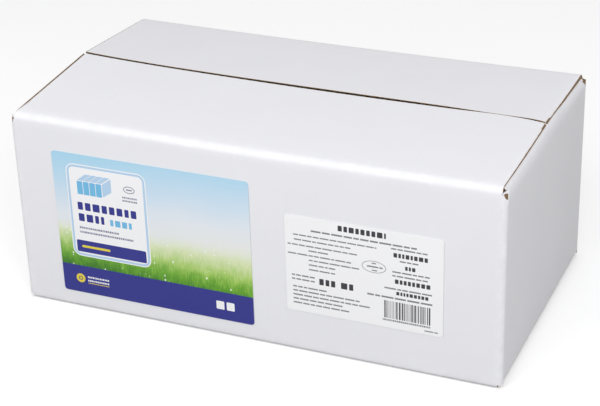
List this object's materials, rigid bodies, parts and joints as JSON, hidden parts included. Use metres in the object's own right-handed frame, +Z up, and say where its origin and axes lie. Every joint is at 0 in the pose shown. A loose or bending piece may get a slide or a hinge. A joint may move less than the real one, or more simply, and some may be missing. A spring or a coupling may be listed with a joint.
{
  "type": "corrugated cardboard carton",
  "caption": "Shut white corrugated carton for a block of butter: outer flaps meet in a slightly raised seam, with a picture label and an information label on the front wall.",
  "frame": {"origin": "under the middle of the base, on the surface that the carton rests on", "axes": "+X along the carton's length, from the picture label to the information label; -Y out of the labelled front wall; +Z up"},
  "size_m": [0.38, 0.2106, 0.1631],
  "materials": {
    "white_board": "clay-coated white board with a dull sheen, brown at its cut edges",
    "picture_paper": "satin printed paper in sky blue, meadow green, white and navy",
    "info_paper": "plain white label paper with fine dark marks"
  },
  "bodies": {
    "root": {"carton": "white_board", "picture_label": "picture_paper", "info_label": "info_paper"}
  },
  "joints": []
}
